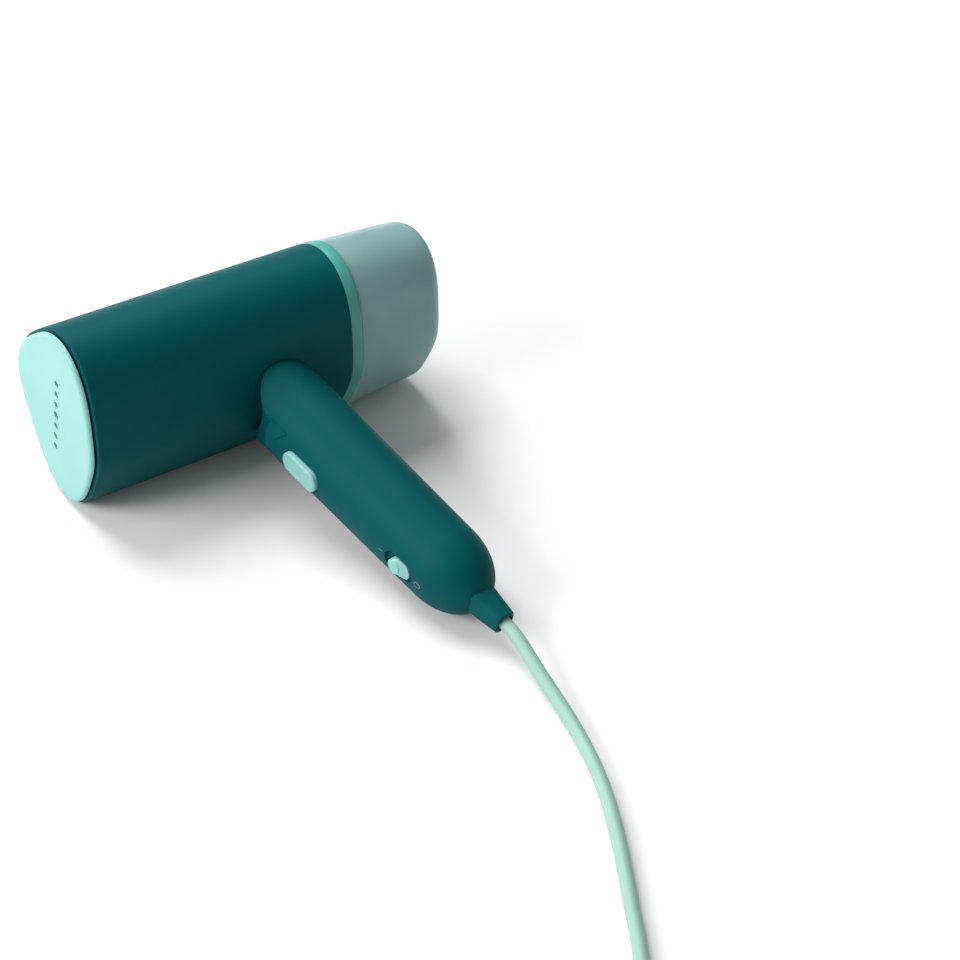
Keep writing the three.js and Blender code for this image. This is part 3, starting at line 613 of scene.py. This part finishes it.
def head_piece(name, stations, around=False):
    """A skin over the head's section at stations of (x, inset from the outline)."""
    rings = []
    for x, inset in stations:
        y, z = outline(EVEN, inset)
        rings.append(np.stack([np.full(len(y), float(x)), y, z], axis=1))
    return loft(name, rings, around)


def edge(x, side, radius, inset, steps):
    """Stations of a rounded edge that ends at x on that side, in the order of growing x."""
    made = []
    for i in range(steps + 1):
        a = math.radians(90 * i / steps)
        made.append((x - side * radius * (1 - math.sin(a)), inset + radius * (1 - math.cos(a))))
    return made if side > 0 else made[::-1]


def make_casing():
    """The tube, with a hole at its underside for the neck."""
    seam_edge, front_edge = 0.2, 0.9
    stations = edge(0, -1, seam_edge, 0, 3) + [(x, 0.0) for x in np.linspace(1.2, 105.6, 16)]
    stations += edge(CASING_LENGTH, 1, front_edge, 0, 6)
    stations += [(CASING_LENGTH, CASING_WALL), (60, CASING_WALL), (0, CASING_WALL)]
    casing = head_piece("head_casing_shell", stations, around=True)
    hole = block((PIVOT.x - 8.2, PIVOT.x + 1.4), (-8.4, 8.4), (-30, -15))
    return combine(casing, bevel(hole, 1.2, segments=4))


def make_plate():
    """The steam plate: a foot inside the bezel, a rounded face and seven holes."""
    foot_inset, front_edge = 9.2, 1.5
    stations = [(103.4, foot_inset), (PLATE_BACK, foot_inset), (PLATE_BACK, PLATE_INSET + 0.2),
                (PLATE_BACK + 0.15, PLATE_INSET)]
    stations += edge(PLATE_FRONT, 1, front_edge, PLATE_INSET, 8)[1:] + [(PLATE_FRONT, 3.4)]
    plate = head_piece("steam_plate_cap", stations)
    holes = []
    for i in range(-HOLES_ASIDE, HOLES_ASIDE + 1):
        r = SIDE_HOLE if i else MIDDLE_HOLE
        profile = [(0, r), (9.55, r), (9.7, r + 0.06), (9.86, r + 0.2), (12, r + 0.2)]
        holes.append(turned(profile, (100, i * HOLE_PITCH, HOLE_HEIGHT), (1, 0, 0), 40))
    return combine(plate, *holes)


def steam_hole_painted_shade(at):
    """Whether a place on the plate is inside one of its holes, whose walls are painted black as shade."""
    across = (at.y + HOLE_PITCH / 2) % HOLE_PITCH - HOLE_PITCH / 2
    radius = MIDDLE_HOLE if abs(at.y) < 2 else SIDE_HOLE
    near = math.hypot(across, at.z - HOLE_HEIGHT) < radius + 0.1
    return near and abs(at.y) < HOLES_ASIDE * HOLE_PITCH + 2 and 100 < at.x < PLATE_FRONT - 0.2


def make_bezel():
    """The dark ring behind the plate."""
    stations = [(98, 2.5), (107.2, 2.5), (107.4, 2.7), (107.4, 8.8), (98, 8.8)]
    return head_piece("front_bezel_ring", stations, around=True)


def tank_inset(x):
    """How far inside the head's outline the tank's wall is."""
    return -x * TANK_TAPER


def make_tank():
    """The tapered cup, outside from its end to its mouth and inside back again."""
    end_edge, inner_edge, mouth_edge = 5, 3, 0.15
    end = tank_inset(TANK_END + end_edge)
    stations = [(TANK_END, end + 8.0)] + edge(TANK_END, -1, end_edge, end, 12)
    stations += [(x, tank_inset(x)) for x in np.linspace(-36, -8, 8)]
    mouth = TANK_MOUTH + mouth_edge
    stations += [(mouth - mouth_edge, tank_inset(mouth)),
                 (mouth, tank_inset(mouth) + mouth_edge),
                 (mouth, tank_inset(mouth) + TANK_WALL)]
    stations += [(x, tank_inset(x) + TANK_WALL) for x in np.linspace(-8, -36, 5)]
    stations += edge(TANK_END + TANK_WALL, -1, inner_edge, end + TANK_WALL, 8)[::-1]
    stations += [(TANK_END + TANK_WALL, end + 9.0)]
    return head_piece("water_tank_shell", stations)


def make_band():
    """The tinted rim that closes the tank, with holes for its fill plug and its valve."""
    stations = [(-7.2, 2.9), (-5.0, 2.9), (-4.8, 2.6)] + edge(-4.8, -1, 0.2, 0, 3)
    stations += edge(-0.1, 1, 0.15, 0, 3) + [(-0.1, 2.95), (-4.5, 2.95)]
    band = head_piece("tank_base_band", stations)
    return combine(band, bar_x((-9, -2), 0, FILL_HEIGHT, 6.2),
                   bar_x((-9, -2), 0, PUMP_HEIGHT, 4.4))


def make_socket():
    """The cup in the head that the tank plugs into, with its nozzle's and its screws' holes."""
    stations = [(13, 2.6), (0.8, 2.6), (0.4, 3.4), (-4.0, 3.4),
                (-4.2, 3.6), (-4.2, 4.8), (-4.0, 5), (11, 5)]
    cup = head_piece("tank_socket_cup", stations)
    screws = [bar_x((10, 14), side * 11.5, -11.2, SCREW_BORE) for side in (-1, 1)]
    return combine(cup, bar_x((10, 14), 0, PUMP_HEIGHT, 2.4), *screws)


def make_neck():
    """The neck's web comes out of the casing and ends in a drum on the fold hinge."""
    drum = hinge_drum((PIVOT.x, 0, PIVOT.z), DRUM_HALF, 0)
    rings = root_rings(0.05)
    for down in (52, 70):
        depth = float(grip_depth(down)) - 0.05
        rings.append(grip_ring(down, depth, depth * BREADTH))
    form = loft("form", rings)
    form.data.transform(IN_STEAMER)
    combine(drum, form, operation="INTERSECT")
    web = block((PIVOT.x - 7.6, PIVOT.x + 0.8), (-7, 7), (PIVOT.z, -18))
    flange = bevel(block((20, 54), (-12.8, 12.8), (-19.2, -16.3)), 0.8)
    combine(drum, web, flange, operation="UNION")
    washers = [bar((PIVOT.x, side * 7.05, PIVOT.z), (PIVOT.x, side * 9, PIVOT.z), 7.0, 72)
               for side in (-1, 1)]
    pin = bar((PIVOT.x, -20, PIVOT.z), (PIVOT.x, 20, PIVOT.z), PIN_BORE)
    screws = [bar((x, y, -20), (x, y, -15), SCREW_BORE, 24) for x, y in NECK_SCREWS]
    drum.name = "hinge_neck_drum"
    return combine(drum, *washers, pin, *screws)


def make_fill_plug():
    """The tank's rubber plug: a ribbed stopper, a brim and a pull tab."""
    profile = [(-8.4, NEAR_AXIS), (-8.4, 5.0), (-8.0, 5.6), (-7.5, 5.8), (-6.6, 5.5),
               (-5.9, 5.8), (-4.15, 5.8), (-4.1, 7.9), (-3.8, 8.2), (-3.2, 8.2), (-2.85, 7.9),
               (-2.8, 7.4), (-2.95, 6.8), (-2.95, NEAR_AXIS)]
    body = turned(profile, (0, 0, FILL_HEIGHT), (1, 0, 0))
    tab = block((-3.4, 2.2), (-4, 4), (FILL_HEIGHT - 1, FILL_HEIGHT + 1))
    body.name = "fill_plug_moulding"
    return combine(body, bevel(tab, 0.8, segments=4), operation="UNION")


place(make_casing(), STEAMER, "teal_shell", "head", "head_casing")
# The steam holes' walls are painted black: painted shade inside the holes.
place(make_plate(), STEAMER, "mint_plastic", "head", "steam_plate", weighted=True,
      inside=("black_plastic", steam_hole_painted_shade))
place(make_bezel(), STEAMER, "black_plastic", "head", "front_bezel")
place(make_socket(), STEAMER, "teal_shell", "head", "tank_socket")
place(make_neck(), STEAMER, "teal_shell", "head", "hinge_neck")
place(make_tank(), STEAMER, "smoked_plastic", "tank", "water_tank", weighted=True)
place(make_band(), STEAMER, "band_plastic", "tank", "tank_base")
place(make_fill_plug(), STEAMER, "rubber", "plug", "fill_plug")

pick_up = [(-13.3, 0, 8), (-18, -0.5, 7.9), (-24, -6, 6), (-29, -14, 3.5), (-32.5, -22, 1.6)]
hose = tube("pickup_hose", [STEAMER @ Vector(p) for p in pick_up], HOSE_RADIUS / 1000)
place(hose, ROW, "silicone", "tank", "pickup_tube")

# ---------------------------------------------------------------- the handle


def grip_wall(inset, fillet):
    """Rings down the wall from the root's rim, with its fillet, to the dome."""
    top_depth, top_breadth = ROOT_RADIUS - inset, ROOT_RADIUS * BREADTH - inset
    rings = []
    for a in np.radians(np.linspace(90, 0, 8)) if fillet else [0.0]:
        drawn = fillet * (1 - math.cos(a))
        depth, breadth = top_depth - drawn, top_breadth - drawn
        rim = rim_at(depth * np.cos(ROUND), breadth * np.sin(ROUND))
        rings.append(grip_ring(rim + fillet * (1 - math.sin(a)), depth, breadth))
    rim = rim_at(top_depth * np.cos(ROUND), top_breadth * np.sin(ROUND)) + fillet
    for t in np.linspace(0, 1, 72)[1:]:
        down = rim + (DOME_START - rim) * t
        depth = grip_depth(down)
        rings.append(grip_ring(down, depth - inset, depth * BREADTH - inset))
    return rings


def grip_dome(inset, steps):
    """Rings over the handle's domed end, after the wall's last one."""
    length = HANDLE_END - DOME_START - inset
    rings = []
    for a in np.radians(np.linspace(0, 88.5, steps))[1:]:
        rings.append(grip_ring(DOME_START + length * math.sin(a),
                               (DOME_RADIUS - inset) * math.cos(a),
                               (DOME_RADIUS * BREADTH - inset) * math.cos(a)))
    return rings


def stadium(down, length, width):
    """Points (y, z) of a shape with round ends along the handle."""
    straight = (length - width) / 2
    points = []
    for end, start in ((-1, 180), (1, 0)):
        for a in np.radians(np.linspace(start, start + 180, 20)):
            points.append((width / 2 * math.cos(a),
                           -down + end * straight + width / 2 * math.sin(a)))
    return points


def stadium_piece(name, stations):
    """A skin over stations of (x, distance down, length, width), from the back to the front."""
    rings = [[(x, y, z) for y, z in stadium(down, length, width)]
             for x, down, length, width in stations]
    return loft(name, rings)


def sleeve_ring(down, radius):
    """A ring of the strain relief's section, between round and square."""
    ring = soft_ring(0, radius, radius, 3.2, 64)
    return np.stack([ring[:, 2], ring[:, 1], np.full(len(ring), -float(down))], axis=1)


def drum_slot():
    """The slot in the root that the drum and the neck turn in."""
    hollow = hinge_drum((HANDLE_PIVOT.x, 0, HANDLE_PIVOT.z), SLOT_HALF, SLOT_CLEARANCE)
    way_out = block((-5.4, 40), (-SLOT_HALF, SLOT_HALF), (HANDLE_PIVOT.z - 1.8, 20))
    return combine(hollow, way_out, operation="UNION")


def make_grip():
    """The casing, with the hinge's slot, the trigger's hole, the slider's pocket and stem slot,
    and the strain relief's mouth."""
    outer = grip_wall(0, 0.5) + grip_dome(0, 30)
    inner = grip_wall(HANDLE_WALL, 0) + grip_dome(HANDLE_WALL, 10)
    shell = loft("handle_shell", inner[::-1] + outer)
    pocket_at = SWITCH_AT - 0.9
    tools = [drum_slot(),
             stadium_piece("hole", [(x, TRIGGER_AT, 19.7, 9.7) for x in (8, 30)]),
             stadium_piece("pocket", [(13.9, pocket_at, 13.6, 6.8), (14.1, pocket_at, 14.2, 7.4),
                                      (14.6, pocket_at, 14.6, 7.8), (30, pocket_at, 14.9, 8.1)]),
             block((8, 20), (-1.7, 1.7), (-SWITCH_AT - 2.5, -SWITCH_AT + 5.5)),
             loft("mouth", [sleeve_ring(170, 5.95), sleeve_ring(128, 5.95)])]
    return combine(shell, *tools)


def make_fork():
    """The solid root inside the grip that carries the hinge pin."""
    inset, end = HANDLE_WALL + 0.3, 44.4
    depth, breadth = ROOT_RADIUS - inset, ROOT_RADIUS * BREADTH - inset
    rings = root_rings(inset)
    down = np.maximum(rim_at(depth * np.cos(ROUND), breadth * np.sin(ROUND)), end)
    rings.append(grip_ring(down, depth, breadth))
    rings.append(grip_ring(end, depth * 0.02, breadth * 0.02))
    fork = loft("hinge_fork_root", rings)
    pin = bar((HANDLE_PIVOT.x, -20, HANDLE_PIVOT.z), (HANDLE_PIVOT.x, 20, HANDLE_PIVOT.z), PIN_BORE)
    return combine(fork, drum_slot(), pin)


def make_trigger():
    """The cap with its rim and shallow dish, on a flange that keeps it in the handle."""
    length, width = TRIGGER_SIZE
    stations = [(11.4, TRIGGER_AT + 0.9, 20.4, 11), (12.1, TRIGGER_AT + 0.9, 20.4, 11),
                (12.1, TRIGGER_AT, length, width), (16.4, TRIGGER_AT, length, width)]
    for a in np.radians(np.linspace(0, 90, 7))[1:]:
        drawn = 2 * 0.8 * (1 - math.cos(a))
        stations.append((16.5 + 0.8 * math.sin(a), TRIGGER_AT, length - drawn, width - drawn))
    for x, drawn in ((17.3, 2.0), (17.26, 2.4), (17.2, 3.0), (17.16, 3.8), (TRIGGER_FACE, 5.6)):
        stations.append((x, TRIGGER_AT, length - drawn, width - drawn))
    return stadium_piece("steam_trigger_cap", stations)


def make_slider():
    """A round finger disc on a body that slopes down towards the lead."""
    stations = [(14.2, SWITCH_AT, 9.6, 6.4), (14.3, SWITCH_AT, 9.8, 6.6),
                (15.0, SWITCH_AT, 9.8, 6.5)]
    for t in np.linspace(0.15, 1, 8):
        ease = t ** 0.9
        stations.append((15.0 + 1.4 * t, SWITCH_AT - DISC_RISE * ease,
                         9.8 - 3.8 * ease, 6.5 - 0.6 * ease))
    for a in np.radians(np.linspace(0, 90, 6))[1:]:
        drawn = 2 * 0.4 * (1 - math.cos(a))
        stations.append((16.4 + 0.4 * math.sin(a), DISC_AT, 6.0 - drawn, 5.9 - drawn))
    stations += [(16.76, DISC_AT, 4.7, 4.6), (DISC_FACE, DISC_AT, 3.9, 3.8)]
    cap = stadium_piece("power_slider_cap", stations)
    stem = block((9.5, 14.5), (-1.3, 1.3), (-SWITCH_AT - 1.5, -SWITCH_AT + 1.5))
    return combine(cap, stem, operation="UNION")


def make_relief():
    """The soft sleeve that the lead leaves the handle through, with a flange inside the wall."""
    rings = [sleeve_ring(129, 5.7), sleeve_ring(139, 5.7)]
    rings += [sleeve_ring(139 + 12.9 * t, 5.7 - 1.5 * t) for t in np.linspace(0.1, 1, 8)]
    for a in np.radians(np.linspace(0, 90, 7))[1:]:
        rings.append(sleeve_ring(RELIEF_TIP - 0.7 + 0.7 * math.sin(a),
                                 4.2 - 0.6 * (1 - math.cos(a))))
    sleeve = loft("strain_relief_sleeve", rings)
    flange = bevel(bar((0, 0, -130.4), (0, 0, -127.4), 7.8, 64), 0.4)
    combine(sleeve, flange, operation="UNION")
    profile = [(0, 3.1), (25.6, 3.1), (26.1, 3.2), (26.5, 3.4), (29, 3.4)]
    return combine(sleeve, turned(profile, (0, 0, -126), (0, 0, -1), 56))


place(make_grip(), HANDLE, "teal_shell", "handle", "handle_casing")
place(make_fork(), HANDLE, "teal_shell", "handle", "hinge_fork")
place(make_trigger(), HANDLE, "mint_plastic", "trigger", "steam_trigger")
place(make_slider(), HANDLE, "mint_plastic", "power_switch", "power_slider", sharp=40)
place(make_relief(), HANDLE, "teal_rubber", "handle", "strain_relief")

# ---------------------------------------------------------------- printed marks


def front_at(down, side):
    """The grip's front surface, in front of its axis, at a distance down and to the side."""
    depth = float(grip_depth(down))
    if down > DOME_START:
        depth = DOME_RADIUS * math.sqrt(1 - ((down - DOME_START) / (HANDLE_END - DOME_START)) ** 2)
    return depth * math.sqrt(1 - (side / (depth * BREADTH)) ** 2)


def flat_at(x):
    """A surface as front_at is one, but flat."""
    return lambda down, side: x


def mark(name, route, width, height, surface, material, body, shell, closed=False):
    """Prints a line: a flat ribbon that follows (side, down) points on a surface. shell is not used."""
    count = len(route)
    rings = []
    for i, (side, down) in enumerate(route):
        before = route[(i - 1) % count] if closed or i else route[0]
        after = route[(i + 1) % count] if closed or i < count - 1 else route[-1]
        way = np.array(after) - np.array(before)
        way = way / np.hypot(*way)
        across = np.array((-way[1], way[0])) * width / 2
        ring = []
        for sign, lift in ((-1, -0.05), (-0.8, height), (0.8, height), (1, -0.05)):
            y, s = side + sign * across[0], down + sign * across[1]
            ring.append((surface(s, y) + lift, y, -s))
        rings.append(ring)
    place(loft(name, rings, around=closed), HANDLE, material, body, slot=shell)


full_turn = np.linspace(0, 2 * math.pi, 33)[:-1]
open_turn = np.radians(np.linspace(-50, 230, 25))
on_line = [(0, 101.3 + 2.0 * t) for t in np.linspace(0, 1, 5)]
off_ring = [(1.15 * math.cos(a), 122.1 + 1.35 * math.sin(a)) for a in full_turn]
power_ring = [(0.9 * math.cos(a), DISC_AT + 0.9 * math.sin(a)) for a in open_turn]
power_line = [(0, DISC_AT - 1.3 + 1.2 * t) for t in np.linspace(0, 1, 4)]

mark("switch_on_mark", on_line, 0.32, 0.04, front_at, "mark_grey", "handle", "teal_shell")
mark("switch_off_mark", off_ring, 0.32, 0.04, front_at, "mark_grey", "handle", "teal_shell",
     closed=True)
for number, side in enumerate((-1.1, 0.0, 1.1), 1):
    wave = [(side + 0.34 * math.sin(2 * math.pi * t), TRIGGER_AT - 1.5 + 3.0 * t)
            for t in np.linspace(0, 1, 15)]
    mark(f"steam_mark_{number}", wave, 0.3, 0.035, flat_at(TRIGGER_FACE), "mark_green",
         "trigger", "mint_plastic")
for name, route in (("power_mark_ring", power_ring), ("power_mark_line", power_line)):
    mark(name, route, 0.26, 0.035, flat_at(DISC_FACE), "mark_green", "power_switch",
         "mint_plastic")

# ---------------------------------------------------------------- carried-over pieces

for subpart in frame["record"]["subparts"]:
    mesh = frame["nodes"][subpart["node"]].data
    mesh.materials.clear()
    mesh.materials.append(MATERIALS[subpart["material_slot"]])
    shade(mesh, 35)

# ---------------------------------------------------------------- floor, light and background

FLOOR_HALF = 4  # metres
AIM = Vector((0.0, 0.0, 0.03))  # metres, where the lights point
WORLD_STRENGTH = 0.35

corners = [(x * FLOOR_HALF, y * FLOOR_HALF, 0) for x, y in ((-1, -1), (1, -1), (1, 1), (-1, 1))]
floor = raw("floor", corners, [(0, 1, 2, 3)])
floor.data.materials.append(
    moulded("floor_paper", (0.86, 0.86, 0.865), 0.8, vary=0.01, grain=1.5, specular=0.1))

world = bpy.data.worlds.new("studio")
world.use_nodes = True
world.node_tree.nodes["Background"].inputs["Color"].default_value = (1.0, 1.0, 1.0, 1)
world.node_tree.nodes["Background"].inputs["Strength"].default_value = WORLD_STRENGTH
bpy.context.scene.world = world


def softbox(name, offset, size, energy):
    """A square light of that size in metres, at an offset from the point that it aims at."""
    data = bpy.data.lights.new(name, "AREA")
    data.shape = "RECTANGLE"
    data.size = data.size_y = size
    data.energy = energy
    made = bpy.data.objects.new(name, data)
    made.location = AIM + Vector(offset)
    made.rotation_euler = (AIM - made.location).to_track_quat("-Z", "Y").to_euler()
    bpy.context.scene.collection.objects.link(made)


softbox("key", (1.35, -0.2, 0.8), 0.8, 21)
softbox("top", (0.1, -1.0, 1.35), 1.1, 30)

bpy.context.scene.view_settings.view_transform = "Standard"
